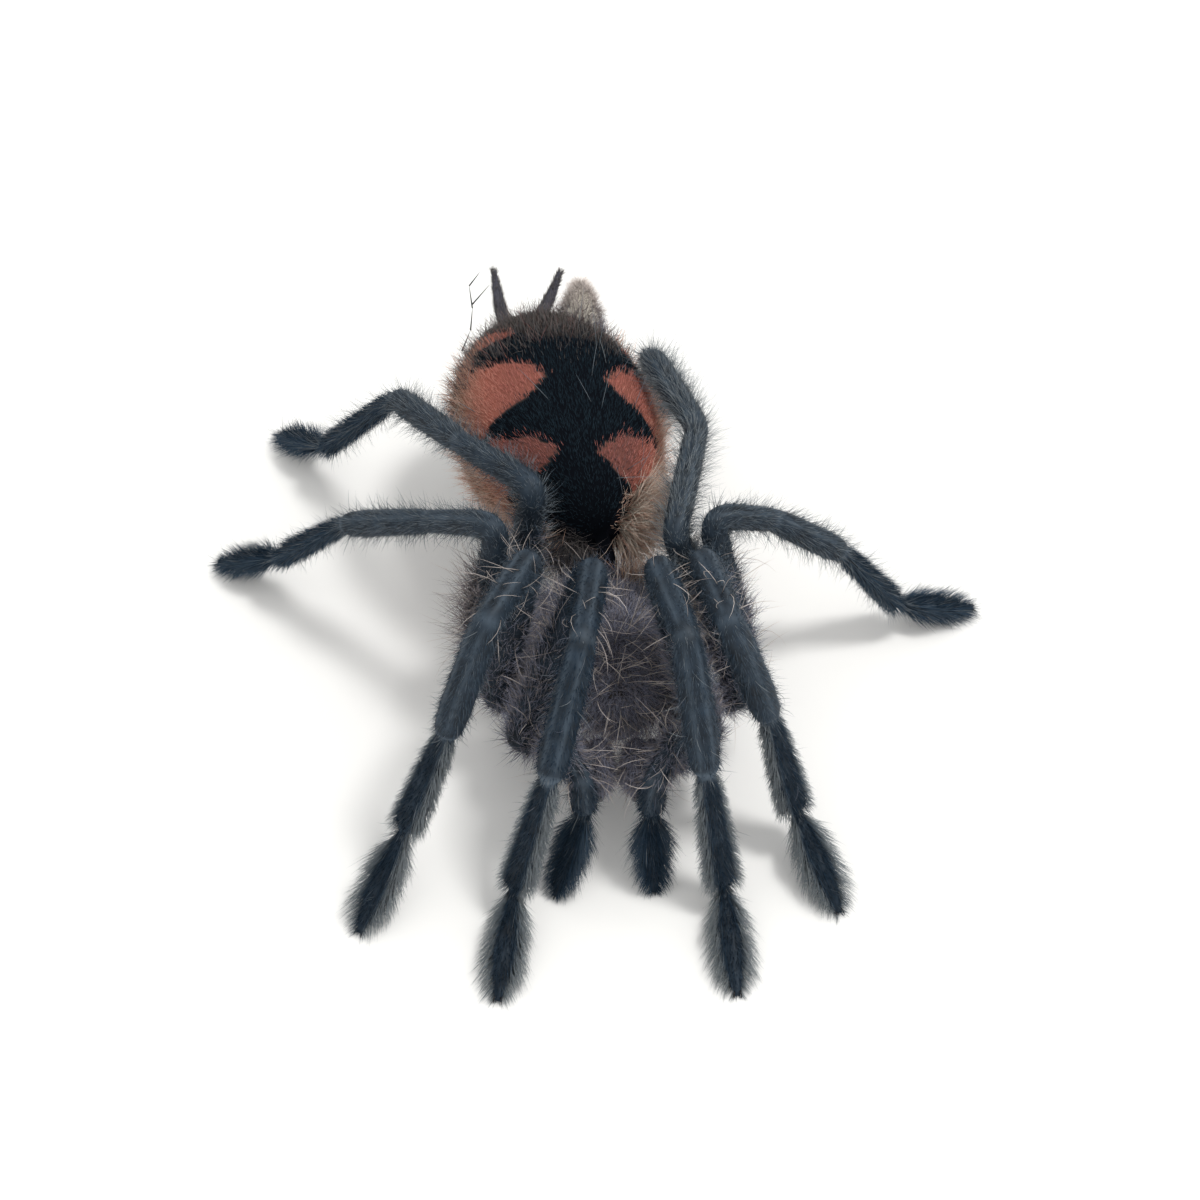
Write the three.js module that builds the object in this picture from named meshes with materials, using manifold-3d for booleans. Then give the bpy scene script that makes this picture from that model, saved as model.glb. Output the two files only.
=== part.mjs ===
// A mounted tarantula standing on its own feet, knees drawn up over the carapace and the abdomen
// swung a little to its right. Millimetres, +Z up, head towards -Y; left and right are the animal's.
import * as THREE from "three";
import { mergeVertices } from "three/addons/utils/BufferGeometryUtils.js";
import Module from "manifold-3d";

const wasm = await Module();
wasm.setup();

// Driving dimensions. Everything is laid out round the middle of the carapace.
const CARAPACE = { width: 8.1, length: 10.8, rim: 5.7, rise: 2.3 };
const STERNUM = { width: 4.2, length: 7.8, bottom: 3.2, top: 5.2 };
const ABDOMEN = { width: 11.8, length: 16.4, height: 11.4, centre: [-3.3, 13.9, 8.6], yaw: 18 };
const HIP_HEIGHT = 4.4;
const TIP_HEIGHT = 0.1; // of the middle of the last section, so that the foot's underside meets the ground
const LIMB_SIDES = 10;
const STOUT = 1; // girth of legs 1 and 2, which the others are given as a share of
const SLIM = 0.87;
const PALP = 0.82;

// Half width and half height along each segment, as [share of its length, width, height].
const GIRTH = {
  coxa: [[0, 0.8, 0.78], [1, 1.0, 0.9]],
  femur: [[0, 1.0, 0.98], [0.4, 1.1, 1.1], [1, 0.95, 1.0]],
  patella: [[0, 0.95, 1.0], [0.5, 0.95, 0.95], [1, 0.84, 0.84]],
  tibia: [[0, 0.84, 0.84], [0.15, 0.98, 0.96], [0.75, 1.04, 1.0], [0.93, 0.95, 0.9], [1, 0.78, 0.74]],
  metatarsus: [[0, 0.72, 0.68], [0.12, 0.88, 0.8], [0.6, 1.12, 0.84], [0.9, 1.18, 0.84], [1, 0.6, 0.52]],
  tarsus: [[0, 0.5, 0.48], [0.15, 0.9, 0.66], [0.4, 1.42, 0.84], [0.62, 1.42, 0.84], [0.85, 0.85, 0.62],
    [1, 0.28, 0.3]],
};
const LEG = ["coxa", "femur", "patella", "tibia", "metatarsus", "tarsus"];
const FEELER = ["coxa", "femur", "patella", "tibia", "tarsus"];

// Each limb starts at a point beside the sternum and runs to its hip at the edge of the carapace. From there
// each segment has a length, a heading (0 forward, 90 outward, 180 back) and a pitch up from level. The last
// segment has no pitch of its own: it slopes down until the tip of the foot is at the height of the ground.
const LIMBS = {
  leg_1_left: { girth: STOUT, parts: LEG, root: [2.6, -3.2], hip: [5.1, -4.9],
    length: [11.2, 6.2, 7.6, 7.5, 6.2], heading: [-151.3, 15, 14, 22, 6], pitch: [54.4, 9, -54, -68] },
  leg_1_right: { girth: STOUT, parts: LEG, root: [2.6, -3.2], hip: [5.6, -5.0],
    length: [11.4, 6.2, 7.6, 7.5, 6.2], heading: [-145, 6, 19, 37, 8], pitch: [48, 9, -45, -65] },
  leg_2_left: { girth: STOUT, parts: LEG, root: [2.9, -1.1], hip: [7.1, -1.9],
    length: [10.2, 5.8, 7.4, 6.4, 6.0], heading: [-134, 13, 66, 37, 25], pitch: [69, 15, -70, -65] },
  leg_2_right: { girth: STOUT, parts: LEG, root: [2.9, -1.1], hip: [6.9, -2.0],
    length: [10.2, 5.8, 7.4, 6.4, 6.0], heading: [-138, 22, 43, 43, 29], pitch: [71, 13, -63, -57] },
  leg_3_left: { girth: SLIM, parts: LEG, root: [3.1, 1.3], hip: [7.0, 1.5],
    length: [9.0, 4.3, 5.3, 6.3, 5.1], heading: [-147, 111, 97, 96, 103], pitch: [66, -28, -40, -56] },
  leg_3_right: { girth: SLIM, parts: LEG, root: [3.1, 1.3], hip: [7.6, 2.0],
    length: [9.2, 5.2, 6.4, 6.4, 5.2], heading: [222, 121, 116, 109, 114], pitch: [79, -30, -30, -47] },
  leg_4_left: { girth: SLIM, parts: LEG, root: [2.5, 3.2], hip: [5.6, 4.6],
    length: [7.6, 7.3, 6.2, 8.4, 5.7], heading: [-75, 169, 205, 160, 188], pitch: [70, 8, -2, -62] },
  leg_4_right: { girth: SLIM, parts: LEG, root: [2.5, 3.2], hip: [5.6, 4.6],
    length: [9.0, 6.0, 7.6, 8.0, 5.4], heading: [214, 135, 146, 110, 138], pitch: [78, -11, -22, -52] },
  palp_left: { girth: PALP, parts: FEELER, root: [1.6, -5.0], hip: [3.3, -6.1],
    length: [2.9, 2.75, 2.5, 4.9], heading: [-7, -29, -45, 6], pitch: [82, -10, -84] },
  palp_right: { girth: PALP, parts: FEELER, root: [1.6, -5.0], hip: [3.3, -6.1],
    length: [2.9, 2.75, 2.5, 5.3], heading: [-7, -29, -45, 30], pitch: [82, -10, -84] },
};

const COLOUR = {
  shell: { color: 0x4a3f3d, roughness: 0.75, metalness: 0 },
  leg: { color: 0x33424c, roughness: 0.7, metalness: 0 },
  abdomen: { color: 0x2a2326, roughness: 0.9, metalness: 0 },
  fang: { color: 0x1a1112, roughness: 0.3, metalness: 0 },
  spinneret: { color: 0x6d675f, roughness: 0.8, metalness: 0 },
};

const vec = (a) => new THREE.Vector3(...a);
const degrees = (a) => (a * Math.PI) / 180;

// A closed skin over rings of points, with a point at the middle of each end.
function skin(rings) {
  const sides = rings[0].length;
  const middle = (ring) => ring.reduce((sum, p) => sum.add(p), new THREE.Vector3()).divideScalar(sides);
  const points = [middle(rings[0]), ...rings.flat(), middle(rings.at(-1))];
  const at = (ring, k) => 1 + ring * sides + (k % sides);
  const faces = [];
  for (let k = 0; k < sides; k++) {
    faces.push(0, at(0, k + 1), at(0, k));
    for (let r = 0; r + 1 < rings.length; r++) {
      faces.push(at(r, k), at(r, k + 1), at(r + 1, k + 1), at(r, k), at(r + 1, k + 1), at(r + 1, k));
    }
    faces.push(points.length - 1, at(rings.length - 1, k), at(rings.length - 1, k + 1));
  }
  const geometry = new THREE.BufferGeometry().setFromPoints(points);
  geometry.setIndex(faces);
  return geometry;
}

// The oval of half width w along side and half height h along up, round a point.
function oval(point, side, up, w, h, sides) {
  return Array.from({ length: sides }, (_, k) => {
    const turn = ((k + 0.5) / sides) * 2 * Math.PI;
    return point.clone().addScaledVector(side, w * Math.cos(turn)).addScaledVector(up, h * Math.sin(turn));
  });
}

// Width and height read from a girth table at a share of the segment's length.
function girthAt(table, share) {
  const next = Math.max(1, table.findIndex((row) => row[0] >= share - 1e-9));
  const [a, b] = [table[next - 1], table[next]];
  const t = THREE.MathUtils.clamp((share - a[0]) / (b[0] - a[0]), 0, 1);
  return [THREE.MathUtils.lerp(a[1], b[1], t), THREE.MathUtils.lerp(a[2], b[2], t)];
}

// A limb as straight segments with rounded joints: ovals along each segment, and round every bend an arc.
function limb({ girth, parts, root, hip, length, heading, pitch }, mirror) {
  const joints = [vec([mirror * root[0], root[1], HIP_HEIGHT]), vec([mirror * hip[0], hip[1], HIP_HEIGHT])];
  const coxa = joints[1].clone().sub(joints[0]);
  const spans = [coxa.length(), ...length];
  const headings = [Math.atan2(mirror * coxa.x, -coxa.y), ...heading.map(degrees)];
  const pitches = [0, ...pitch.map(degrees)];
  const ways = [];
  const sideways = [];
  headings.forEach((h, i) => {
    const slope = pitches[i] ?? Math.asin((TIP_HEIGHT - joints[i].z) / spans[i]);
    const flat = new THREE.Vector3(mirror * Math.sin(h), -Math.cos(h), 0);
    ways.push(flat.multiplyScalar(Math.cos(slope)).setZ(Math.sin(slope)));
    if (i) joints.push(joints[i].clone().addScaledVector(ways[i], spans[i]));
    // Where the limb doubles back past the vertical, its side stays on the side of the segment before.
    const side = new THREE.Vector3(Math.cos(h), mirror * Math.sin(h), 0);
    sideways.push(i && side.dot(sideways[i - 1]) < 0 ? side.negate() : side);
  });

  const rings = [];
  const ring = (point, way, side, part, share) => {
    const across = side.clone().addScaledVector(way, -side.dot(way)).normalize();
    const up = way.clone().cross(across).normalize();
    const [w, h] = girthAt(GIRTH[parts[part]], share);
    rings.push(oval(point, across, up, girth * w, girth * h, LIMB_SIDES));
  };
  const setbacks = ways.slice(1).map((way, i) => {
    const bend = ways[i].angleTo(way);
    const radius = 1.12 * girth * Math.max(...girthAt(GIRTH[parts[i]], 1));
    return Math.min(radius * Math.tan(bend / 2), 0.42 * spans[i], 0.42 * spans[i + 1]);
  });
  parts.forEach((part, i) => {
    const from = i ? setbacks[i - 1] / spans[i] : 0;
    const to = i < setbacks.length ? 1 - setbacks[i] / spans[i] : 1;
    const knots = GIRTH[part].map((row) => row[0]).filter((s) => s > from + 0.04 && s < to - 0.04);
    for (const share of [from, ...knots, to]) {
      ring(joints[i].clone().addScaledVector(ways[i], share * spans[i]), ways[i], sideways[i], i, share);
    }
    if (i === setbacks.length) return;
    const steps = Math.ceil(ways[i].angleTo(ways[i + 1]) / degrees(28));
    const start = joints[i + 1].clone().addScaledVector(ways[i], -setbacks[i]);
    const end = joints[i + 1].clone().addScaledVector(ways[i + 1], setbacks[i]);
    for (let k = 1; k < steps; k++) {
      const t = k / steps;
      const bend = new THREE.QuadraticBezierCurve3(start, joints[i + 1], end);
      const side = sideways[i].clone().lerp(sideways[i + 1], t);
      const before = t < 0.5;
      const share = before ? to + (1 - to) * 2 * t : ((2 * t - 1) * setbacks[i]) / spans[i + 1];
      ring(bend.getPoint(t), bend.getTangent(t), side, before ? i : i + 1, share);
    }
  });
  return skin(rings);
}

// A short tapered piece through points [x, y, z, half width, half height].
function tapered(points, sides) {
  const path = points.map((p) => vec(p.slice(0, 3)));
  return skin(path.map((point, i) => {
    const way = path[Math.min(i + 1, path.length - 1)].clone().sub(path[Math.max(i - 1, 0)]).normalize();
    const side = new THREE.Vector3(-way.y, way.x, 0).normalize();
    return oval(point, side, way.clone().cross(side).normalize(), points[i][3], points[i][4], sides);
  }));
}

// The low dome of the carapace, with the raised eye mound near its front edge.
function carapace() {
  const rings = [];
  for (const share of [0.97, 1, 0.98, 0.93, 0.84, 0.7, 0.5, 0.25]) {
    const first = !rings.length;
    rings.push(Array.from({ length: 24 }, (_, k) => {
      const turn = (k / 24) * 2 * Math.PI;
      const narrowing = 1 + 0.11 * Math.sin(turn);
      const x = share * 0.5 * CARAPACE.width * Math.cos(turn) * narrowing;
      const y = share * 0.5 * CARAPACE.length * Math.sin(turn);
      const mound = 0.5 * Math.exp(-(x * x + (y + 3.7) ** 2) / 0.7);
      const rise = first ? 0 : 0.25 + (CARAPACE.rise - 0.25) * Math.sqrt(1 - share ** 2) + mound;
      return new THREE.Vector3(x, y, CARAPACE.rim + rise);
    }));
  }
  return skin(rings);
}

// The flat oval plate under the body that the coxae stand round.
function sternum() {
  const middle = 0.5 * (STERNUM.bottom + STERNUM.top);
  return skin([[0.8, STERNUM.bottom], [1, middle], [0.85, STERNUM.top]].map(([share, z]) =>
    Array.from({ length: 16 }, (_, k) => {
      const turn = (k / 16) * 2 * Math.PI;
      return new THREE.Vector3(
        0.5 * share * STERNUM.width * Math.cos(turn), 0.5 * share * STERNUM.length * Math.sin(turn) - 0.3, z);
    })));
}

// The abdomen, egg-shaped and fuller behind, on the thin waist that leads to the carapace.
function abdomen() {
  const yaw = degrees(ABDOMEN.yaw);
  const side = new THREE.Vector3(-Math.cos(yaw), -Math.sin(yaw), 0);
  const along = new THREE.Vector3(-Math.sin(yaw), Math.cos(yaw), 0);
  const up = new THREE.Vector3(0, 0, 1);
  const rings = [[-0.4, 5.75, 6.8], [-0.6, 6.1, 7.1]].map((p) => oval(vec(p), side, up, 0.55, 0.5, 22));
  for (let k = 1; k < 15; k++) {
    const s = -Math.cos((k / 15) * Math.PI);
    const r = (1 - s * s) ** 0.46 * (1 + 0.03 * s);
    const point = vec(ABDOMEN.centre).addScaledVector(along, 0.5 * ABDOMEN.length * s);
    rings.push(oval(point, side, up, 0.5 * ABDOMEN.width * r, 0.5 * ABDOMEN.height * r, 22));
  }
  return skin(rings);
}

const solid = (geometry) => new wasm.Manifold(new wasm.Mesh({
  numProp: 3,
  vertProperties: new Float32Array(geometry.getAttribute("position").array),
  triVerts: new Uint32Array(geometry.index.array),
}));

function surface(body) {
  const cut = body.getMesh();
  const made = new THREE.BufferGeometry();
  made.setAttribute("position", new THREE.BufferAttribute(new Float32Array(cut.vertProperties), 3));
  made.setIndex([...cut.triVerts]);
  return mergeVertices(made, 1e-4);
}

// What is below z = 0 is cut away, which leaves a flat sole under each foot.
const standing = (geometry) => surface(solid(geometry).trimByPlane([0, 0, 1], 0));

// The tuft of fuzz that stands up from the rear of the abdomen, beside the left spinneret.
const tuft = () => tapered([[-2.2, 19.4, 11.2, 1.1, 0.8], [-2.0, 20.6, 11.6, 1.25, 1.0],
  [-1.9, 21.8, 11.9, 1.15, 0.9], [-1.8, 22.6, 12.1, 0.5, 0.4]], 12);

const tarantula = new THREE.Group();

function add(name, geometry, colour) {
  const flat = geometry.toNonIndexed();
  flat.computeVertexNormals();
  const mesh = new THREE.Mesh(flat, new THREE.MeshStandardMaterial(COLOUR[colour]));
  mesh.name = name;
  tarantula.add(mesh);
}

add("carapace", carapace(), "shell");
add("sternum", sternum(), "shell");
add("abdomen", surface(solid(abdomen()).add(solid(tuft()))), "abdomen");
for (const [name, shape] of Object.entries(LIMBS)) {
  const mirror = name.endsWith("left") ? 1 : -1;
  add(name, standing(limb(shape, mirror)), "leg");
}
for (const [side, m] of [["left", 1], ["right", -1]]) {
  add(`chelicera_${side}`, tapered([[1.0 * m, -5.9, 5.2, 0.6, 0.9], [1.0 * m, -6.2, 5.3, 0.82, 1.4],
    [1.0 * m, -6.8, 5.1, 0.84, 1.6], [0.97 * m, -7.2, 4.7, 0.74, 1.45], [0.93 * m, -7.55, 4.3, 0.45, 0.95]], 12),
    "shell");
  add(`fang_${side}`, tapered([[0.95 * m, -7.1, 2.85, 0.26, 0.26], [0.95 * m, -6.95, 2.3, 0.22, 0.22],
    [0.95 * m, -6.4, 1.8, 0.14, 0.14], [0.95 * m, -5.7, 1.6, 0.05, 0.05]], 6), "fang");
}
add("spinneret_left", tapered([[-4.6, 22.4, 9.4, 0.42, 0.4], [-3.9, 23.5, 9.8, 0.38, 0.36],
  [-3.3, 24.8, 10.6, 0.2, 0.2]], 8), "spinneret");
add("spinneret_right", tapered([[-6.6, 22.2, 9.4, 0.42, 0.4], [-6.9, 23.2, 9.8, 0.38, 0.36],
  [-7.2, 24.8, 10.7, 0.2, 0.2]], 8), "spinneret");

// The whole is moved so that the middle of its footprint stands on the origin.
tarantula.updateMatrixWorld(true);
const bounds = new THREE.Box3().setFromObject(tarantula, true);
const centre = bounds.getCenter(new THREE.Vector3());
tarantula.position.set(-centre.x, -centre.y, -bounds.min.z);

export default tarantula;
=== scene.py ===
# %% [markdown]
# # A mounted tarantula and its coat of hair
# A tarantula is a hard shell under thousands of hairs, and the hairs give it nearly all of its look: the
# velvet of the abdomen, the soft edge of the legs, the pale bristles over the brown front body. The lesson
# lays out the shell first, from the same measures as the solid part, and then grows the hairs on it.

import bpy
import numpy as np
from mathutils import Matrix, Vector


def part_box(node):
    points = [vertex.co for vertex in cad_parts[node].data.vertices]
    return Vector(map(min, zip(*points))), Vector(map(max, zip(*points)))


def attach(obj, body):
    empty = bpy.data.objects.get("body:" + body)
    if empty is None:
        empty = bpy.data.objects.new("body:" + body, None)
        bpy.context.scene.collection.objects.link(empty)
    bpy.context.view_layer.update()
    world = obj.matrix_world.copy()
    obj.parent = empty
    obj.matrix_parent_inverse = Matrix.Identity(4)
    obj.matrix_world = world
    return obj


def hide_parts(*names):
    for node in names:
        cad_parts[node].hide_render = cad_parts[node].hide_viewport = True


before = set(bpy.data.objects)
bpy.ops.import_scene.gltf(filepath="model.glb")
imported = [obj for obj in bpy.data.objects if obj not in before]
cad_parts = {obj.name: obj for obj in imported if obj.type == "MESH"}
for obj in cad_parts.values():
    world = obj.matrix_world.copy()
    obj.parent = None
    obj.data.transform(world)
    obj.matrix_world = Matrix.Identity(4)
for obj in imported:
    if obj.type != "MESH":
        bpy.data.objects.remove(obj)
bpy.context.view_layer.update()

# %% [markdown]
# The measures below are in millimetres, laid out round the middle of the carapace with the head towards -Y.
# Blender works in metres, and the finished part stands with the middle of its footprint on the origin. The
# carapace solid is even on both sides of its middle, so the middle of its box says how far everything is to
# be moved.

# %% From the maker's millimetres to the row frame
MM = 0.001
low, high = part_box("carapace")
MIDDLE = np.array([(low.x + high.x) / 2, (low.y + high.y) / 2, 0.0])


def in_row(points):
    """Points in millimetres round the carapace, as metres in the row frame."""
    return np.asarray(points, float) * MM + MIDDLE


print("middle of the carapace, metres", MIDDLE.round(5))

# %% [markdown]
# The camera looks down at the specimen from in front of its head. A long lens keeps the feet and the far
# end of the abdomen at the same scale.

# %% Camera
LOOK_AT = in_row([-0.95, 3.9, 6.0])
DISTANCE, ELEVATION = 0.170, np.radians(52)
camera = bpy.data.objects.new("camera", bpy.data.cameras.new("camera"))
bpy.context.scene.collection.objects.link(camera)
camera.location = LOOK_AT + DISTANCE * np.array([0, -np.cos(ELEVATION), np.sin(ELEVATION)])
camera.rotation_euler = (np.pi / 2 - ELEVATION, 0, 0)
camera.data.sensor_width = 36
camera.data.lens = 91.3
camera.data.clip_start = 0.01
bpy.context.scene.camera = camera
bpy.context.scene.view_settings.view_transform = "Standard"

# %% [markdown]
# A dark specimen on white needs a ground that is lit almost to white, so that its shadows stay pale. A
# bright even sky does most of it, and one lamp high on the right gives the soft shadows that fall to the
# left of the legs.

# %% Floor and light
FLOOR_HALF = 1.5


def new_finish(name, roughness, gloss=0.5):
    """A material with its nodes, its links and the inputs of its shader."""
    finish = bpy.data.materials.new(name)
    finish.use_nodes = True
    nodes = finish.node_tree.nodes
    shader = nodes["Principled BSDF"].inputs
    shader["Roughness"].default_value = roughness
    shader["Specular IOR Level"].default_value = gloss
    return finish, nodes, finish.node_tree.links, shader


floor_mesh = bpy.data.meshes.new("floor")
outer = [(x * FLOOR_HALF, y * FLOOR_HALF, 0) for x, y in ((-1, -1), (1, -1), (1, 1), (-1, 1))]
floor_mesh.from_pydata(outer, [], [(0, 1, 2, 3)])
floor = bpy.data.objects.new("floor", floor_mesh)
bpy.context.scene.collection.objects.link(floor)
paper, _, _, shader = new_finish("white paper", 0.9)
shader["Base Color"].default_value = (0.93, 0.93, 0.93, 1)
floor_mesh.materials.append(paper)

sky = bpy.data.worlds.new("even sky")
sky.use_nodes = True
sky.node_tree.nodes["Background"].inputs["Color"].default_value = (1.0, 0.995, 0.97, 1)
sky.node_tree.nodes["Background"].inputs["Strength"].default_value = 0.86
bpy.context.scene.world = sky

lamp_data = bpy.data.lights.new("lamp on the right", "AREA")
lamp_data.size = 0.07
lamp_data.energy = 0.70
lamp_data.color = (1.0, 0.985, 0.95)
lamp = bpy.data.objects.new("lamp on the right", lamp_data)
bpy.context.scene.collection.objects.link(lamp)
lamp.location = (0.14, 0.035, 0.35)
lamp.rotation_euler = (np.radians(-5.7), np.radians(21.8), 0)

# %% [markdown]
# Every piece here is worked out as whole arrays of points and faces, so one helper puts them into a mesh.
# It also keeps a map for the faces, and marks on the points that the finishes read, such as where a joint
# is pale.

# %% From arrays to a piece


def make_piece(name, points, faces, finish, corners, marks=None, stands_for=()):
    """A mesh from points in millimetres and a list of face tables (three or four corners each).

    corners has a table of map places for each face table. marks is {name: a number for each point}.
    """
    mesh = bpy.data.meshes.new(name)
    order = np.concatenate([table.ravel() for table in faces]).astype(np.int32)
    sizes = np.concatenate([np.full(len(table), table.shape[1]) for table in faces])
    first = np.concatenate([[0], np.cumsum(sizes)[:-1]]).astype(np.int32)
    mesh.vertices.add(len(points))
    mesh.vertices.foreach_set("co", in_row(points).astype(np.float32).ravel())
    mesh.loops.add(len(order))
    mesh.loops.foreach_set("vertex_index", order)
    mesh.polygons.add(len(sizes))
    mesh.polygons.foreach_set("loop_start", first)
    mesh.update(calc_edges=True)
    mesh.polygons.foreach_set("use_smooth", np.ones(len(sizes), bool))
    places = np.concatenate([table.reshape(-1, 2) for table in corners]).astype(np.float32)
    mesh.uv_layers.new(name="OFBake").uv.foreach_set("vector", places.ravel())
    for key, values in (marks or {}).items():
        mesh.attributes.new(key, "FLOAT", "POINT").data.foreach_set("value", np.asarray(values, np.float32))
    mesh.materials.append(finish)
    piece = bpy.data.objects.new(name, mesh)
    bpy.context.scene.collection.objects.link(piece)
    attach(piece, "root")
    if stands_for:
        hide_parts(*stands_for)


def unit(vectors):
    """Vectors divided by their length."""
    return vectors / np.maximum(np.linalg.norm(vectors, axis=-1, keepdims=True), 1e-9)


def closed_rings(rings):
    """Points, faces and map places of a closed skin over rings of points, shaped (rings, sides, 3).

    The points are a middle point for the first ring, the rings in turn, and a middle point for the last.
    """
    count, sides = rings.shape[:2]
    points = np.concatenate([rings[:1].mean(1), rings.reshape(-1, 3), rings[-1:].mean(1)])
    r, k = np.meshgrid(np.arange(count - 1), np.arange(sides), indexing="ij")
    at = lambda r, k: 1 + r * sides + k % sides
    quads = np.stack([at(r, k), at(r, k + 1), at(r + 1, k + 1), at(r + 1, k)], -1).reshape(-1, 4)
    k = np.arange(sides)
    start = np.stack([0 * k, at(0, k + 1), at(0, k)], -1)
    end = np.stack([0 * k + len(points) - 1, at(count - 1, k), at(count - 1, k + 1)], -1)
    u = np.stack([k, k + 1, k + 1, k], -1) / sides
    v = 0.03 + 0.94 * np.arange(count) / (count - 1)
    quad_u = np.broadcast_to(u, (count - 1, sides, 4))
    quad_v = np.stack([v[:-1], v[:-1], v[1:], v[1:]], -1)[:, None].repeat(sides, 1)
    first = np.stack([u[:, [0, 1, 0]] + [0.5 / sides, 0, 0], np.tile([0, v[0], v[0]], (sides, 1))], -1)
    last = np.stack([u[:, [0, 0, 1]] + [0.5 / sides, 0, 0], np.tile([1, v[-1], v[-1]], (sides, 1))], -1)
    return points, [quads, start, end], [np.stack([quad_u, quad_v], -1), first, last]


# %% [markdown]
# A real hair is a long thin cone that bends under its own stiffness. Short ones look straight, so four
# triangles are enough for each, and a hundred thousand of them still make a light scene. Long ones are bent
# spikes of a few rings. A whole coat is computed at once. A hair's place on its map is how far along the
# hair a point is, and the tone of that hair, so one band of colours can dye every hair and shade it from
# root to tip.

# %% Hairs as spikes
HAIRS_GROWN = {}
DOWN, FINE, COARSE, STIFF = (0.012, 0.02), (0.014, 0.022), (0.014, 0.024), (0.018, 0.028)  # half widths
HAIR_FLOOR, SHELL_FLOOR = 0.03, 0.04  # lowest heights, so that nothing sinks into the ground
SUNK = 0.05  # how deep in the skin a hair starts
STRAND = 0.002  # the width of one hair on its map


def spikes(root, start, end, length, girth, tone, bends=1):
    """Hairs that leave root heading start and finish heading end, with as many rings as bends.

    A point at t, from 0 to 1, is root + length * (t start + t*t/2 (end - start)). girth is the half width at
    the root, and it narrows as (1 - t) ** 0.6.
    """
    count = len(root)
    t = np.linspace(0, 1, bends + 1)[None, :, None]
    line = root[:, None] + length[:, None, None] * (t * start[:, None] + 0.5 * t**2 * (end - start)[:, None])
    line[..., 2] = np.maximum(line[..., 2], HAIR_FLOOR)
    way = unit(start + end)
    across = unit(np.cross(way, [0.31, 0.52, 0.79]))
    up = np.cross(way, across)
    turn = np.arange(3) * 2 * np.pi / 3
    ring = np.cos(turn)[:, None] * across[:, None, None] + np.sin(turn)[:, None] * up[:, None, None]
    width = girth[:, None, None, None] * (1 - t[:, :-1, :, None]) ** 0.6
    points = np.concatenate([(line[:, :-1, None] + width * ring).reshape(count, -1, 3), line[:, -1:]], 1)
    k, after = np.arange(3), (np.arange(3) + 1) % 3
    levels = np.arange(bends - 1)[:, None]
    sides = 3 * levels[..., None] + np.stack([k, after, 3 + after, 3 + k], -1)[None]
    tip = np.stack([3 * bends - 3 + k, 3 * bends - 3 + after, 0 * k + 3 * bends], -1)
    shift = np.arange(count)[:, None, None] * (3 * bends + 1)
    quads = (sides.reshape(1, -1, 4) + shift).reshape(-1, 4)
    triangles = (np.concatenate([tip, [[2, 1, 0]]])[None] + shift).reshape(-1, 3)
    u = np.broadcast_to(t[:, :, 0] * 0.9 + 0.05, (count, bends + 1))[:, None]
    v = tone[:, None, None] + (np.arange(4) - 1.5)[None, :, None] * STRAND
    grid = np.stack(np.broadcast_arrays(u, v), -1)
    quad_map = np.stack([grid[:, :-1, :-2], grid[:, 1:, :-2], grid[:, 1:, 1:-1], grid[:, :-1, 1:-1]], -2)
    quad_map = quad_map.transpose(0, 2, 1, 3, 4)
    tip_map = np.stack([grid[:, :-1, -2], grid[:, 1:, -2], grid[:, :-1, -1]], 2)
    base_map = np.stack([grid[:, 0, 0] - [0.02, 0], grid[:, 1, 0], grid[:, 0, 0]], 1)[:, None]
    return points.reshape(-1, 3), quads, triangles, quad_map, np.concatenate([tip_map, base_map], 1)


def grow(name, tufts, finish):
    """One piece of hair from several results of spikes()."""
    points, quads, triangles, quad_map, triangle_map = [], [], [], [], []
    shift = 0
    for p, q, t, qm, tm in tufts:
        points.append(p)
        quads.append(q + shift)
        triangles.append(t + shift)
        quad_map.append(qm.reshape(-1, 4, 2))
        triangle_map.append(tm.reshape(-1, 3, 2))
        shift += len(p)
    faces = [np.concatenate(quads), np.concatenate(triangles)]
    corners = [np.concatenate(quad_map), np.concatenate(triangle_map)]
    HAIRS_GROWN[name] = 2 * len(faces[0]) + len(faces[1])
    make_piece(name, np.concatenate(points), faces, finish, corners)


# %% [markdown]
# The colours are given as they are named on a paint card, from 0 to 255, and turned into the linear numbers
# that the shader works with. A finish for hair reads its map: up the map the band of tones, along it the
# shading of one hair, which is dark at the root where neighbours shade it and lighter at the thin tip.

# %% Finishes for hair


def paint(red, green, blue):
    """A colour of 0 to 255 in each channel, as linear light: ((c + 0.055) / 1.055) ** 2.4."""
    c = np.array([red, green, blue]) / 255
    return (*np.where(c > 0.04045, ((c + 0.055) / 1.055) ** 2.4, c / 12.92), 1.0)


def dyes(tones):
    """{place: colour of 0 to 255} as the stops of a band."""
    return [(place, paint(*colour)) for place, colour in tones.items()]


def band(nodes, stops):
    """A colour ramp through (place, colour) stops."""
    ramp = nodes.new("ShaderNodeValToRGB")
    while len(ramp.color_ramp.elements) < len(stops):
        ramp.color_ramp.elements.new(0.5)
    for element, (place, colour) in zip(ramp.color_ramp.elements, stops):
        element.position, element.color = place, colour
    return ramp


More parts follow.
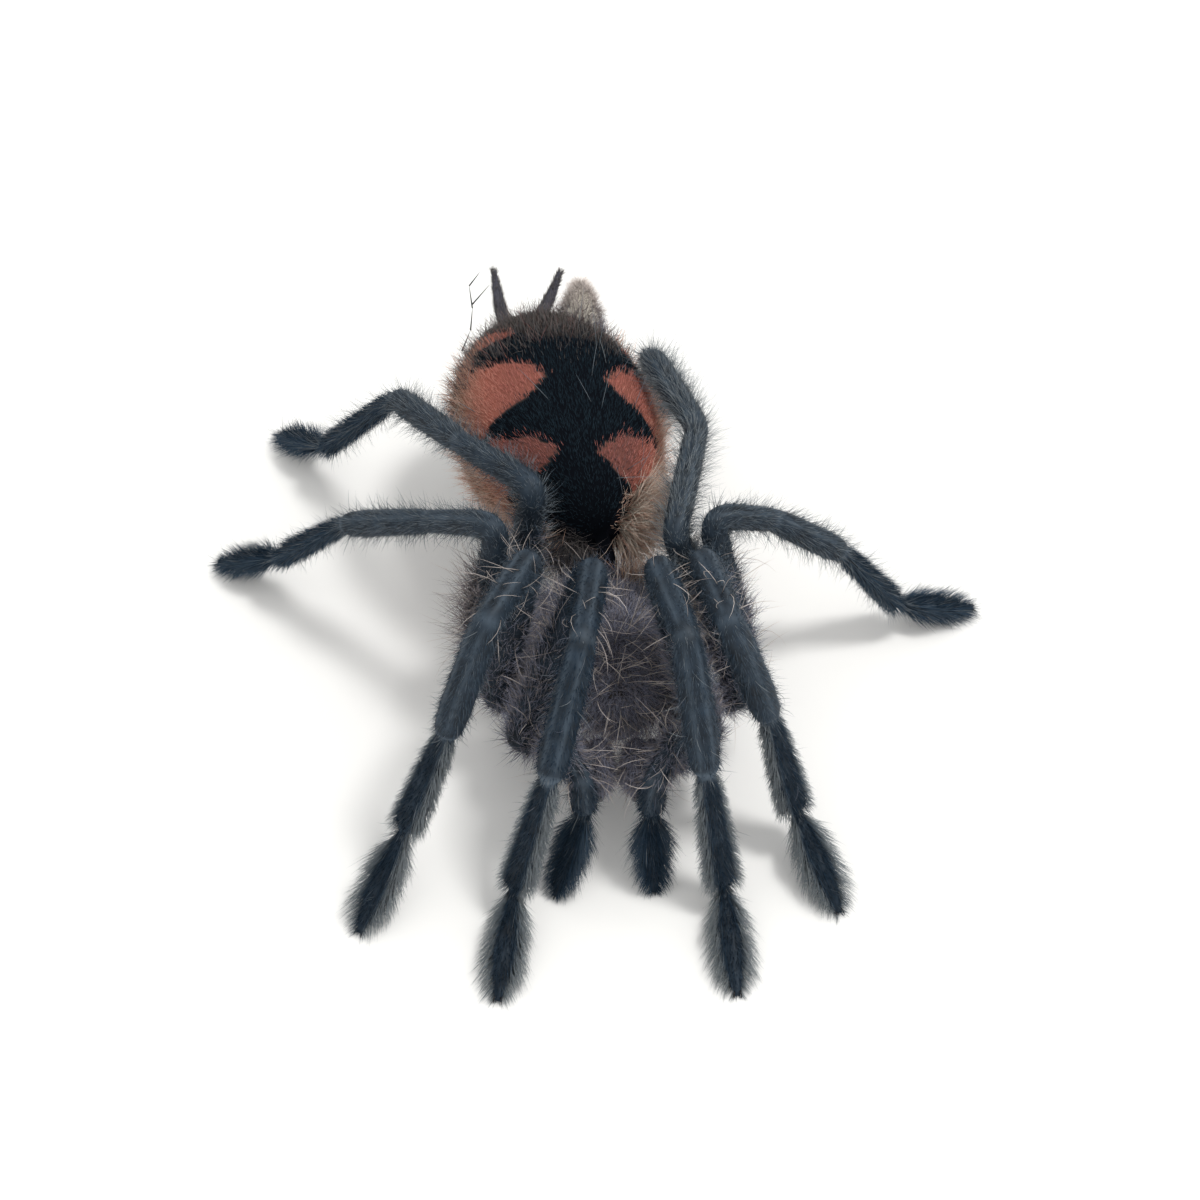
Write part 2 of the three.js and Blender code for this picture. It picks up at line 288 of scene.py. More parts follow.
def hair_finish(name, tones, tip, roughness, gloss):
    """Hair dyed by its map: tones is {place up the map: colour}, tip the brightness at a hair's end."""
    finish, nodes, links, shader = new_finish(name, roughness, gloss)
    hair_map = nodes.new("ShaderNodeUVMap")
    hair_map.uv_map = "OFBake"
    split = nodes.new("ShaderNodeSeparateXYZ")
    links.new(hair_map.outputs["UV"], split.inputs[0])
    dye = band(nodes, dyes(tones))
    links.new(split.outputs["Y"], dye.inputs[0])
    along = band(nodes, [(0.0, (0.6, 0.6, 0.6, 1)), (0.35, (0.85, 0.85, 0.85, 1)), (1.0, (tip, tip, tip, 1))])
    links.new(split.outputs["X"], along.inputs[0])
    shade = nodes.new("ShaderNodeMix")
    shade.data_type, shade.blend_type = "RGBA", "MULTIPLY"
    shade.inputs["Factor"].default_value = 1
    links.new(dye.outputs["Color"], shade.inputs["A"])
    links.new(along.outputs["Color"], shade.inputs["B"])
    links.new(shade.outputs["Result"], shader["Base Color"])
    return finish


# %% [markdown]
# Two bands of tones serve the whole animal. The first runs from the blue-black of the feet through slate
# and the pale grey of the joints to the violet greys, browns and creams of the front body. The second is
# for the abdomen: black velvet, grey-brown fuzz at the rear, salmon orange patches and buff flanks.

# %% Tones
BLACK, DARK, SLATE, HAZE, MIST = 0.04, 0.14, 0.25, 0.36, 0.46
DUSK, UMBER, BROWN, BUFF, CREAM = 0.52, 0.58, 0.70, 0.82, 0.94
limb_hair = hair_finish(
    "slate and brown hair",
    {BLACK: (16, 24, 32), DARK: (32, 46, 60), SLATE: (50, 69, 88), HAZE: (90, 102, 114),
     MIST: (140, 147, 152), DUSK: (97, 101, 118), UMBER: (130, 135, 155), BROWN: (152, 144, 144),
     BUFF: (190, 180, 176), CREAM: (224, 215, 210)},
    1.35, 0.8, 0.05)
VELVET, SOOT, ASH, FUZZ = 0.06, 0.20, 0.28, 0.36
ROSE, ORANGE, SALMON, FLANK, PALE = 0.46, 0.54, 0.64, 0.80, 0.95
abdomen_hair = hair_finish(
    "abdomen velvet",
    {VELVET: (39, 53, 63), SOOT: (49, 61, 70), ASH: (80, 77, 80), FUZZ: (116, 112, 110), ROSE: (128, 94, 94),
     ORANGE: (190, 118, 108), SALMON: (206, 142, 128), FLANK: (202, 166, 148), PALE: (228, 220, 208)},
    1.25, 0.9, 0.0)

# %% [markdown]
# The shell between the hairs is a matt cuticle with a fine uneven tone. One noise varies its colour, a
# finer one pits its surface, and it lightens wherever the mark named pale says so: at the soft skin of a
# joint, or along the two bare stripes down the knees and shins, whose paleness is partly their own colour
# and partly a painted highlight.

# %% Finish for cuticle
SPECKLE = 900  # noise cells in a metre


def cuticle(name, dark, light, soft, roughness):
    """Shell with a mottled colour from dark to light, going to the colour soft where the mark pale is 1."""
    finish, nodes, links, shader = new_finish(name, roughness, 0.25)
    where = nodes.new("ShaderNodeTexCoord")
    blotch = nodes.new("ShaderNodeTexNoise")
    blotch.inputs["Scale"].default_value = SPECKLE
    blotch.inputs["Detail"].default_value = 5
    links.new(where.outputs["Object"], blotch.inputs["Vector"])
    tone = band(nodes, [(0.3, dark), (0.7, light)])
    links.new(blotch.outputs["Fac"], tone.inputs[0])
    mark = nodes.new("ShaderNodeAttribute")
    mark.attribute_name = "pale"
    mix = nodes.new("ShaderNodeMix")
    mix.data_type = "RGBA"
    links.new(mark.outputs["Fac"], mix.inputs["Factor"])
    links.new(tone.outputs["Color"], mix.inputs["A"])
    mix.inputs["B"].default_value = soft
    links.new(mix.outputs["Result"], shader["Base Color"])
    pits = nodes.new("ShaderNodeTexNoise")
    pits.inputs["Scale"].default_value = 6 * SPECKLE
    links.new(where.outputs["Object"], pits.inputs["Vector"])
    bump = nodes.new("ShaderNodeBump")
    bump.inputs["Strength"].default_value = 0.35
    bump.inputs["Distance"].default_value = 0.00004
    links.new(pits.outputs["Fac"], bump.inputs["Height"])
    links.new(bump.outputs["Normal"], shader["Normal"])
    return finish


leg_shell = cuticle("leg cuticle", paint(18, 27, 36), paint(40, 54, 68), paint(90, 104, 118), 0.6)
body_shell = cuticle("carapace cuticle", paint(56, 57, 68), paint(84, 84, 96), paint(110, 102, 98), 0.7)

# %% [markdown]
# A leg has six segments: coxa, femur, patella, tibia, metatarsus and tarsus; a palp has no metatarsus. Each
# has a length, a heading and a pitch, as a person would pose a jointed model. The middle line is straight
# along a segment and turns each joint in a short smooth curve, and an oval is carried along it.

# %% Measures of the limbs
HIP_HEIGHT, TIP_HEIGHT = 4.4, 0.1
GIRTH = {
    "coxa": [[0, 0.8, 0.78], [1, 1.0, 0.9]],
    "femur": [[0, 1.0, 0.98], [0.4, 1.1, 1.1], [1, 0.95, 1.0]],
    "patella": [[0, 0.95, 1.0], [0.5, 0.95, 0.95], [1, 0.84, 0.84]],
    "tibia": [[0, 0.84, 0.84], [0.15, 0.98, 0.96], [0.75, 1.04, 1.0], [0.93, 0.95, 0.9], [1, 0.78, 0.74]],
    "metatarsus": [[0, 0.72, 0.68], [0.12, 0.88, 0.8], [0.6, 1.12, 0.84], [0.9, 1.18, 0.84], [1, 0.6, 0.52]],
    "tarsus": [[0, 0.5, 0.48], [0.15, 0.9, 0.66], [0.4, 1.42, 0.84], [0.62, 1.42, 0.84], [0.85, 0.85, 0.62],
               [1, 0.28, 0.3]],
}
LEG = ["coxa", "femur", "patella", "tibia", "metatarsus", "tarsus"]
FEELER = ["coxa", "femur", "patella", "tibia", "tarsus"]
LIMBS = {
    "leg_1_left": (1, LEG, [2.6, -3.2], [5.1, -4.9], [11.2, 6.2, 7.6, 7.5, 6.2],
                   [-151.3, 15, 14, 22, 6], [54.4, 9, -54, -68]),
    "leg_1_right": (1, LEG, [2.6, -3.2], [5.6, -5.0], [11.4, 6.2, 7.6, 7.5, 6.2],
                    [-145, 6, 19, 37, 8], [48, 9, -45, -65]),
    "leg_2_left": (1, LEG, [2.9, -1.1], [7.1, -1.9], [10.2, 5.8, 7.4, 6.4, 6.0],
                   [-134, 13, 66, 37, 25], [69, 15, -70, -65]),
    "leg_2_right": (1, LEG, [2.9, -1.1], [6.9, -2.0], [10.2, 5.8, 7.4, 6.4, 6.0],
                    [-138, 22, 43, 43, 29], [71, 13, -63, -57]),
    "leg_3_left": (0.87, LEG, [3.1, 1.3], [7.0, 1.5], [9.0, 4.3, 5.3, 6.3, 5.1],
                   [-147, 111, 97, 96, 103], [66, -28, -40, -56]),
    "leg_3_right": (0.87, LEG, [3.1, 1.3], [7.6, 2.0], [9.2, 5.2, 6.4, 6.4, 5.2],
                    [222, 121, 116, 109, 114], [79, -30, -30, -47]),
    "leg_4_left": (0.87, LEG, [2.5, 3.2], [5.6, 4.6], [7.6, 7.3, 6.2, 8.4, 5.7],
                   [-75, 169, 205, 160, 188], [70, 8, -2, -62]),
    "leg_4_right": (0.87, LEG, [2.5, 3.2], [5.6, 4.6], [9.0, 6.0, 7.6, 8.0, 5.4],
                    [214, 135, 146, 110, 138], [78, -11, -22, -52]),
    "palp_left": (0.82, FEELER, [1.6, -5.0], [3.3, -6.1], [2.9, 2.75, 2.5, 4.9],
                  [-7, -29, -45, 6], [82, -10, -84]),
    "palp_right": (0.82, FEELER, [1.6, -5.0], [3.3, -6.1], [2.9, 2.75, 2.5, 5.3],
                   [-7, -29, -45, 30], [82, -10, -84]),
}

# %% The middle line of a limb
SAMPLE_GAP = 0.12
KNEE_ROUND, LONGEST_TURN = 1.12, 0.42  # a joint's curve, in half widths and in shares of a segment


def limb_line(shape, mirror):
    """Samples along a limb: point, way, side, segment number, share of the segment, half sizes.

    Along a segment: joint + share * length * way. Round a joint: (1-t)^2 start + 2t(1-t) joint + t^2 end.
    """
    girth, parts, root, hip, length, heading, pitch = shape
    joints = [np.array([mirror * x, y, HIP_HEIGHT]) for x, y in (root, hip)]
    coxa = joints[1] - joints[0]
    spans = [np.linalg.norm(coxa), *length]
    headings = [np.arctan2(mirror * coxa[0], -coxa[1]), *np.radians(heading)]
    pitches = [0, *np.radians(pitch)]
    ways, sides = [], []
    for i, turn in enumerate(headings):
        slope = pitches[i] if i < len(pitches) else np.arcsin((TIP_HEIGHT - joints[i][2]) / spans[i])
        level = np.cos(slope)
        ways.append(np.array([mirror * level * np.sin(turn), -level * np.cos(turn), np.sin(slope)]))
        if i:
            joints.append(joints[i] + spans[i] * ways[i])
        side = np.array([np.cos(turn), mirror * np.sin(turn), 0])
        sides.append(-side if i and side @ sides[-1] < 0 else side)
    bends = [np.arccos(np.clip(a @ b, -1, 1)) for a, b in zip(ways, ways[1:])]
    setbacks = [min(KNEE_ROUND * girth * max(GIRTH[parts[i]][-1][1:]) * np.tan(bend / 2),
                    LONGEST_TURN * spans[i], LONGEST_TURN * spans[i + 1]) for i, bend in enumerate(bends)]
    rows = []
    for i in range(len(parts)):
        begin = setbacks[i - 1] / spans[i] if i else 0
        end = 1 - setbacks[i] / spans[i] if i < len(setbacks) else 1
        t = np.linspace(begin, end, max(4, int((end - begin) * spans[i] / SAMPLE_GAP)))[:, None]
        rows.append([joints[i] + t * spans[i] * ways[i], 0 * t + ways[i], 0 * t + sides[i], 0 * t + i, t])
        if i == len(setbacks):
            break
        t = np.linspace(0, 1, max(5, int(2 * setbacks[i] / SAMPLE_GAP)) + 1)[1:-1, None]
        start, stop = joints[i + 1] - setbacks[i] * ways[i], joints[i + 1] + setbacks[i] * ways[i + 1]
        rows.append([
            (1 - t) ** 2 * start + 2 * t * (1 - t) * joints[i + 1] + t**2 * stop,
            unit((1 - t) * ways[i] + t * ways[i + 1]),
            (1 - t) * sides[i] + t * sides[i + 1],
            np.where(t < 0.5, i, i + 1.0),
            np.where(t < 0.5, end + (1 - end) * 2 * t, (2 * t - 1) * setbacks[i] / spans[i + 1]),
        ])
    point, way, side, number, share = (np.concatenate(column) for column in zip(*rows))
    number, share = number[:, 0].astype(int), share[:, 0]
    half = np.zeros((len(point), 2))
    for i, part in enumerate(parts):
        table, here = np.array(GIRTH[part]), number == i
        half[here] = np.stack([np.interp(share[here], table[:, 0], table[:, j]) for j in (1, 2)], -1)
    across = unit(side - (side * way).sum(-1, keepdims=True) * way)
    return {"point": point, "way": way, "across": across, "up": np.cross(way, across), "number": number,
            "share": share, "half": girth * half, "parts": parts, "spans": spans}


lines = {name: limb_line(shape, 1 if name.endswith("left") else -1) for name, shape in LIMBS.items()}
print("samples on a leg", len(lines["leg_1_left"]["point"]))

# %% [markdown]
# Under its hair a leg is slimmer than it looks: about six sevenths of the width of the furry outline down
# to the shin, two thirds on the metatarsus and half on the tarsus, where the brush is thickest. The shell
# narrows at each joint, where soft pale skin shows as a ring, and the knee and shin carry two bare stripes
# along the top, painted pale partly as their own colour and partly as a painted highlight.

# %% The shell of each limb
RING = {"tibia": 0.8, "metatarsus": 0.8, "patella": 0.3, "femur": 0.15}
HAIRLESS = {"coxa": 0.84, "femur": 0.84, "patella": 0.87, "tibia": 0.85, "metatarsus": 0.68, "tarsus": 0.50}
TUBE_SIDES = 20
FAR = 9.0  # further than any ring reaches


def joint_rings(line):
    """How pale the soft skin is: a bump exp(-(distance/0.22)^2) round the far end of each segment."""
    pale = np.zeros(len(line["point"]))
    for i, part in enumerate(line["parts"][:-1]):
        away = np.where(line["number"] == i, (1 - line["share"]) * line["spans"][i], FAR)
        away = np.where(line["number"] == i + 1, line["share"] * line["spans"][i + 1], away)
        pale = np.maximum(pale, RING.get(part, 0) * np.exp(-((away / 0.22) ** 2)))
    return pale


def shell_half(line):
    """Half sizes of the shell: the outline less its hair, drawn in a little more at the joints."""
    slim = np.array([HAIRLESS[part] for part in line["parts"]])[line["number"]]
    half = line["half"] * (slim * (1 - 0.08 * joint_rings(line)))[:, None]
    kernel = np.hanning(7) / np.hanning(7).sum()
    padded = np.pad(half, ((3, 3), (0, 0)), mode="edge")
    return np.stack([np.convolve(padded[:, j], kernel, "valid") for j in (0, 1)], -1)


def stripe_of(number, share, turn):
    """1 on the two bare stripes, half a radian each side of the top, along the patella and tibia; their pale
    colour is partly a painted highlight.
    """
    on = np.isin(number, (2, 3)) * np.clip(np.minimum(share, 1 - share) * 8, 0, 1)
    off = np.abs(np.abs((turn - np.pi / 2 + np.pi) % (2 * np.pi) - np.pi) - 0.5)
    return on * np.exp(-((off / 0.08) ** 2))


def limb_shell(name, line):
    """A tube of ovals: point + w cos(turn) across + h sin(turn) up, kept above the ground."""
    half = shell_half(line)
    turn = (np.arange(TUBE_SIDES) + 0.5) / TUBE_SIDES * 2 * np.pi
    rings = (line["point"][:, None] + half[:, :1, None] * np.cos(turn)[:, None] * line["across"][:, None]
             + half[:, 1:, None] * np.sin(turn)[:, None] * line["up"][:, None])
    rings[..., 2] = np.maximum(rings[..., 2], SHELL_FLOOR)
    points, faces, corners = closed_rings(rings)
    # the stripes are painted paler, partly as the bare cuticle's own colour and partly as a painted highlight
    stripes = stripe_of(line["number"][:, None], line["share"][:, None], turn[None])
    pale = np.maximum(joint_rings(line)[:, None], 0.4 * stripes)
    pale = np.concatenate([[0], pale.ravel(), [0]])
    make_piece(f"{name}_shell", points, faces, leg_shell, corners, {"pale": pale}, (name,))


for name, line in lines.items():
    limb_shell(name, line)
print("limbs", len(lines))

# %% [markdown]
# The coat of a leg leans towards the foot. It is short slate hair from the knee down, with a thin haze of
# longer hairs, and it stands out sideways on the last two segments to make their pale-edged brush. The base
# of every leg is different: there the hair is long, curly and grey-brown, and it fills the spaces between
# the thighs. Bristles are few, cream on the front legs and dark on the hind ones.

# %% Coat and bristles of each limb


def roots_on(line, count, rng, weight):
    """Random places on a limb's shell: a sample by its skin times its weight, and an even turn round it."""
    half = shell_half(line)
    step = np.linalg.norm(np.diff(line["point"], axis=0, append=line["point"][-1:]), axis=1)
    skin = step * half.sum(1) * weight
    grown = np.concatenate([[0], np.cumsum(skin)])[:-1] / skin.sum()
    place = np.clip(np.interp(rng.random(count), grown, np.arange(len(grown))), 0, len(grown) - 1.001)
    i = place.astype(int)
    f = (place - i)[:, None]
    at = lambda key: line[key][i] * (1 - f) + line[key][i + 1] * f
    w, h = (half[i] * (1 - f) + half[i + 1] * f).T
    turn = rng.random(count) * 2 * np.pi
    across, up, way = at("across"), at("up"), unit(at("way"))
    root = at("point") + (w * np.cos(turn))[:, None] * across + (h * np.sin(turn))[:, None] * up
    normal = unit((np.cos(turn) / w)[:, None] * across + (np.sin(turn) / h)[:, None] * up)
    outline = line["half"][i] * (1 - f) + line["half"][i + 1] * f
    gap = np.hypot((outline[:, 0] - w) * np.cos(turn), (outline[:, 1] - h) * np.sin(turn))
    return {"root": root, "normal": normal, "way": way, "turn": turn, "gap": gap, "number": line["number"][i],
            "share": line["share"][i], "ring": joint_rings(line)[i]}


def leaning(r, rng, low, high, wild, upright=0.0):
    """A way low to high degrees (and upright more) from the limb's to the outward one, with some chance."""
    lean = np.radians(rng.uniform(low, high, len(r["root"])) + upright)
    loose = rng.normal(0, wild, r["root"].shape)
    way = unit(r["normal"] * np.sin(lean)[:, None] + r["way"] * np.cos(lean)[:, None] + loose)
    return way, np.sin(lean), loose


def limb_coat(name, line, rng, hairs, haze, curls, bristles, shin_tone, bristle_tone, brown_end, haze_reach,
              curl_reach, curl_tone, pale_edge):
    """Short hairs, a haze of longer ones, curls on the brown base and bristles. brown_end is in segments."""
    last = len(line["parts"]) - 1
    is_leg = last == 5
    brush = last - is_leg
    browner = lambda r: np.clip((brown_end - r["number"] - r["share"]) / 0.5, 0, 1)

    ankle = (line["number"] == last) & (line["share"] < 0.3)
    r = roots_on(line, hairs, rng, np.where(ankle, 5.5, np.where(line["number"] >= brush, 3.0, 1.0)))
    on_brush = r["number"] >= brush
    edge = np.clip((np.abs(np.cos(r["turn"])) - 0.45) / 0.4, 0, 1) * on_brush
    start, rise, _ = leaning(r, rng, 22, 50, 0.09, EDGE_LIFT * edge)
    chance = rng.uniform(0.75, 1.1, hairs)
    near_ankle = (r["number"] == last) * np.exp(-(((r["share"] - 0.10) / 0.15) ** 2))
    sleeve = (0.55 if is_leg else 0.8) * edge * near_ankle
    length = (r["gap"] + 0.10 + 0.10 * edge + sleeve) / rise * np.where(on_brush, 0.7 + 0.3 * chance, chance)
    tone = np.where(on_brush, DARK + 0.03 + pale_edge * edge, shin_tone) + rng.normal(0, 0.03, hairs)
    in_ring = rng.random(hairs) < 0.5 * r["ring"]
    tone = np.where(in_ring, MIST + rng.normal(0, 0.012, hairs), np.clip(tone, 0.02, 0.45))
    brown = rng.random(hairs) < browner(r)
    tone = np.where(brown, UMBER + 0.01 + np.abs(rng.normal(0, 0.03, hairs)), tone)
    coat = spikes(r["root"] - SUNK * r["normal"], start, start, length * np.where(brown, 1.4, 1),
                  rng.uniform(*COARSE, hairs) * np.where(on_brush, 0.75 + 0.35 * edge, 1), tone)

    r = roots_on(line, haze, rng, np.where(line["number"] >= brush, 0.8, 1.0))
    start = leaning(r, rng, 35, 75, 0.2)[0]
    length, girth = haze_reach * rng.uniform(0.4, 1.0, haze), rng.uniform(0.009, 0.014, haze)
    tone = np.clip(rng.normal(max(SLATE + 0.06, shin_tone + 0.03), 0.04, haze), 0.1, 0.45)
    veil = spikes(r["root"], start, start, length, girth, tone)

    r = roots_on(line, curls, rng, np.clip(brown_end - line["number"] - line["share"], 0.0, 1.0) + 1e-6)
    start, _, loose = leaning(r, rng, 30, 80, 0.3)
    curl = spikes(r["root"] - SUNK * r["normal"], start, unit(start + 0.5 * r["way"] + 1.2 * loose),
                  curl_reach * rng.uniform(0.6, 1.35, curls), rng.uniform(*COARSE, curls),
                  np.clip(curl_tone + np.abs(rng.normal(0, 0.07, curls)), 0.56, 0.84), 2)

    r = roots_on(line, bristles, rng, np.interp(line["number"], range(6), BRISTLY))
    start, _, loose = leaning(r, rng, 40, 80, 0.22)
    near = browner(r) > 0
    cream = near if bristle_tone < MIST else near | (r["number"] <= 2)
    length = np.where(cream, rng.uniform(1.6, 3.4, bristles), rng.uniform(0.9, 1.7, bristles))
    girth = np.where(cream, rng.uniform(0.016, 0.026, bristles), rng.uniform(0.013, 0.020, bristles))
    tone = np.where(cream, rng.normal(0.86, 0.04, bristles), rng.normal(bristle_tone, 0.03, bristles))
    bristle = spikes(r["root"] - SUNK * r["normal"], start, unit(start + 0.5 * r["way"] + 5 * loose), length,
                     girth, np.clip(tone, 0.02, 0.98), 4)
    grow(f"{name}_coat", [coat, veil, curl, bristle], limb_hair)


EDGE_LIFT = np.radians(38)  # it is used as degrees, 0.66 of them, so the edge of the brush is hardly lifted
BRISTLY = [1.4, 1.5, 1.4, 1.0, 0.5, 0.1]  # how thickly each segment is set with bristles, from the coxa out
# Numbers of hairs, haze, curls and bristles, tones of shin and bristle, where the brown ends, reach of haze and
# curl, tone of the curl, and how much paler the edge of the brush is
COATS = {
    "palp": (4200, 900, 1200, 60, DARK + 0.04, MIST, 3.1, 0.9, 1.0, UMBER, 0.12),
    "front leg": (8500, 1800, 1900, 90, SLATE + 0.07, MIST, 1.85, 0.95, 1.0, UMBER, 0.34),
    # leg 1 right keeps a darker shin tone than leg 1 left: painted shade on the side away from the lamp
    "leg_1_right": (8500, 1800, 2000, 90, DARK + 0.06, MIST, 1.85, 0.95, 1.2, UMBER, 0.34),
    "hind leg": (7500, 2800, 1200, 150, HAZE + 0.01, HAZE, 1.7, 1.5, 1.3, UMBER, 0.12),
    "leg_3_right": (7500, 2200, 3300, 170, HAZE + 0.01, HAZE, 1.7, 1.3, 2.2, UMBER + 0.07, 0.12),
    "leg_4_left": (7500, 4400, 1100, 150, MIST - 0.04, MIST - 0.04, 1.7, 1.9, 1.3, UMBER, 0.12),
}
for seed, (name, line) in enumerate(lines.items()):
    kind = "palp" if name.startswith("palp") else "hind leg" if name[4] in "34" else "front leg"
    limb_coat(name, line, np.random.default_rng(100 + seed), *COATS.get(name, COATS[kind]))
print("triangles of hair on the limbs", sum(HAIRS_GROWN.values()))

# %% [markdown]
# The abdomen is a velvet egg on a thin waist. It is a stretched ball: rings whose size follows (1 - s*s) **
# 0.46 from one end of its axis to the other. The same three numbers, how far along, how far round and the
# radius, place the skin, the velvet and the pattern, so that all of them agree.

# %% The abdomen's form
ABDOMEN = {"centre": np.array([-3.3, 13.9, 8.6]), "half": np.array([8.2, 5.9, 5.7])}
YAW = np.radians(18)
ALONG = np.array([-np.sin(YAW), np.cos(YAW), 0])
LEFTWARD = np.array([np.cos(YAW), np.sin(YAW), 0])
UPWARD = np.array([0, 0, 1.0])
NAP = 0.25  # how far the skin lies under the furry outline


def on_abdomen(s, turn):
    """Point and outward direction at share s (-1 front, 1 rear) and turn from the top towards the left."""
    a, b, c = ABDOMEN["half"] - NAP
    r = np.maximum(1 - s * s, 0) ** 0.46 * (1 + 0.03 * s)
    point = (ABDOMEN["centre"] + (a * s)[..., None] * ALONG + (b * r * np.sin(turn))[..., None] * LEFTWARD
             + (c * r * np.cos(turn))[..., None] * UPWARD)
    normal = unit((s / a)[..., None] * ALONG + (r * np.sin(turn) / b)[..., None] * LEFTWARD
                  + (r * np.cos(turn) / c)[..., None] * UPWARD)
    return point, normal


# %% [markdown]
# The pattern is a black tree on orange: a stem down the middle and arms that slope outwards. It is drawn as
# limits on how far along the body each orange patch reaches, for every distance from the middle line, with
# both sides alike. The middle line itself is a little askew on this specimen.

# %% The abdomen's pattern
PATCHES = [  # distance from the middle line, front limit, rear limit
    np.array([[0.33, -0.09, -0.05], [0.45, -0.175, 0.05], [0.63, -0.21, 0.10], [0.81, -0.24, 0.15],
              [1.1, -0.31, 0.21], [1.5, -0.40, 0.27], [1.9, -0.6, 0.3]]),
    np.array([[0.25, -0.64, -0.62], [0.36, -0.66, -0.56], [0.45, -0.69, -0.52], [0.6, -0.715, -0.475],
              [0.82, -0.72, -0.44], [1.1, -0.73, -0.37], [1.5, -0.80, -0.40], [1.9, -0.82, -0.5]]),
    np.array([[0.70, 0.42, 0.43], [0.85, 0.40, 0.50], [1.1, 0.41, 0.56], [1.4, 0.43, 0.62],
              [1.9, 0.45, 0.65]]),
]
REAR_FROM, TAIL_FROM, FRONT_POLE = 0.31, 0.72, -0.87  # along the body
FLANK_FROM, UNDER_FROM = 1.28, 2.1  # away from the middle line, in radians


def abdomen_tone(s, turn, rng=None):
    """Tone of the velvet, softened by a little chance. Inside a patch min(s' - front, rear - s') > 0."""
    out = turn - (0.20 + 0.43 * s)
    out = (out + np.pi) % (2 * np.pi) - np.pi
    shifted = s + 0.14 * np.clip(out, -1.3, 1.3)
    away = np.abs(out)
    chance = np.zeros_like(s) if rng is None else rng.normal(0, 1, s.shape)
    tone = VELVET + 0.03 + 0.02 * chance
    rear = shifted + 0.14 * chance > REAR_FROM + 0.12 * (away > 0.6)
    tone = np.where(rear, 0.27 + 0.30 * np.clip(shifted - REAR_FROM, 0, 0.28) + 0.035 * chance, tone)
    flank = away + 0.07 * chance > FLANK_FROM
    tone = np.where(flank, FLANK - 0.03 + 0.04 * chance, tone)
    under = away + 0.30 * chance > UNDER_FROM
    tone = np.where(under, FUZZ - 0.04 + 0.03 * chance, tone)
    for patch in PATCHES:
        front = np.interp(away, patch[:, 0], patch[:, 1])
        back = np.interp(away, patch[:, 0], patch[:, 2])
        depth = np.minimum(np.minimum(shifted - front, back - shifted), 0.8 * (away - patch[0, 0]))
        inside = (depth + 0.024 * chance > 0) & ~under
        dusk = 0.07 * (patch is PATCHES[1]) * (away < 1.2)
        colour = ORANGE + 0.02 - dusk + 0.30 * np.clip(away - 0.75, 0, 0.9) + 0.03 * chance
        tone = np.where(inside, colour, tone)
    tone = np.where(s + 0.06 * chance > TAIL_FROM, FUZZ - 0.02 + 0.03 * chance, tone)
    pole = SOOT if rng is None else np.where(out > 0, FLANK, ASH + 0.01) + 0.03 * chance
    tone = np.where((s < FRONT_POLE) & (away > 0.8), pole, tone)
    return np.clip(tone, 0.02, 0.97)


# %% [markdown]
# The skin under the velvet shows only in places, but its colour has to suit the hair there, or the coat
# looks thin. It reads the tone as a mark on its points, on the same scale as the hair but through a band of
# darker colours.

# %% The abdomen's skin
abdomen_skin, nodes, links, shader = new_finish("abdomen skin", 0.9, 0.0)
tone_mark = nodes.new("ShaderNodeAttribute")
tone_mark.attribute_name = "tone"
skin_dye = band(nodes, dyes({
    VELVET: (12, 15, 20), SOOT: (20, 22, 28), FUZZ: (56, 50, 47), ROSE: (96, 64, 60), SALMON: (150, 92, 80),
    FLANK: (146, 110, 94), PALE: (180, 174, 164)}))
links.new(tone_mark.outputs["Fac"], skin_dye.inputs[0])
links.new(skin_dye.outputs["Color"], shader["Base Color"])

ROWS, SPOKES = 90, 96
s_rows = -np.cos(np.linspace(0.06, np.pi - 0.06, ROWS))
turns = -(np.arange(SPOKES) + 0.5) / SPOKES * 2 * np.pi
S, T = np.meshgrid(s_rows, turns, indexing="ij")
WAIST = np.array([[-0.4, 5.75, 6.8], [-0.5, 5.95, 6.95], [-0.6, 6.15, 7.15]])
waist = WAIST[:, None] + 0.48 * np.sin(turns)[:, None] * LEFTWARD + 0.44 * np.cos(turns)[:, None] * UPWARD
points, faces, corners = closed_rings(np.concatenate([waist, on_abdomen(S, T)[0]]))
tones = np.concatenate([np.full((len(WAIST), SPOKES), SOOT), abdomen_tone(S, T)])
make_piece("abdomen_skin", points, faces, abdomen_skin, corners,
           {"tone": np.concatenate([[SOOT], tones.ravel(), [FUZZ]])}, ("abdomen",))

# %% [markdown]
# The velvet is short, dense and laid back towards the spinnerets. Longer fine hair fringes the flanks, the
# front corners and the rear, and a few long pale bristles lie across the black. One dark fibre with a fork
# has caught on the rear and stands up beside the spinnerets; it is a chain of straight spikes.

# %% The abdomen's velvet, fringes and bristles


def on_skin(rng, count, s_range=(-0.995, 0.99), turn_range=(-np.pi, np.pi)):
    """Even random places on the abdomen: s is even, and a place is kept as often as its ring is wide."""
    s = rng.uniform(*s_range, 3 * count)
    keep = rng.random(3 * count) < (1 - s * s) ** 0.3
    s = s[keep][:count]
    return s, rng.uniform(*turn_range, len(s))


def abdomen_hairs(rng, s, turn, length, lean, girth, tone, droop=0.0, bends=2, wild=0.15):
    """Hairs at an angle lean from the skin, laid towards the rear."""
    root, normal = on_abdomen(s, turn)
    back = unit(ALONG - (normal @ ALONG)[:, None] * normal)
    loose = rng.normal(0, wild, (len(s), 3))
    start = unit(np.sin(lean)[:, None] * normal + np.cos(lean)[:, None] * back + loose)
    end = unit(start + 0.4 * back + loose - droop * UPWARD)
    return spikes(root - 0.06 * normal, start, end, length, girth, tone, bends)


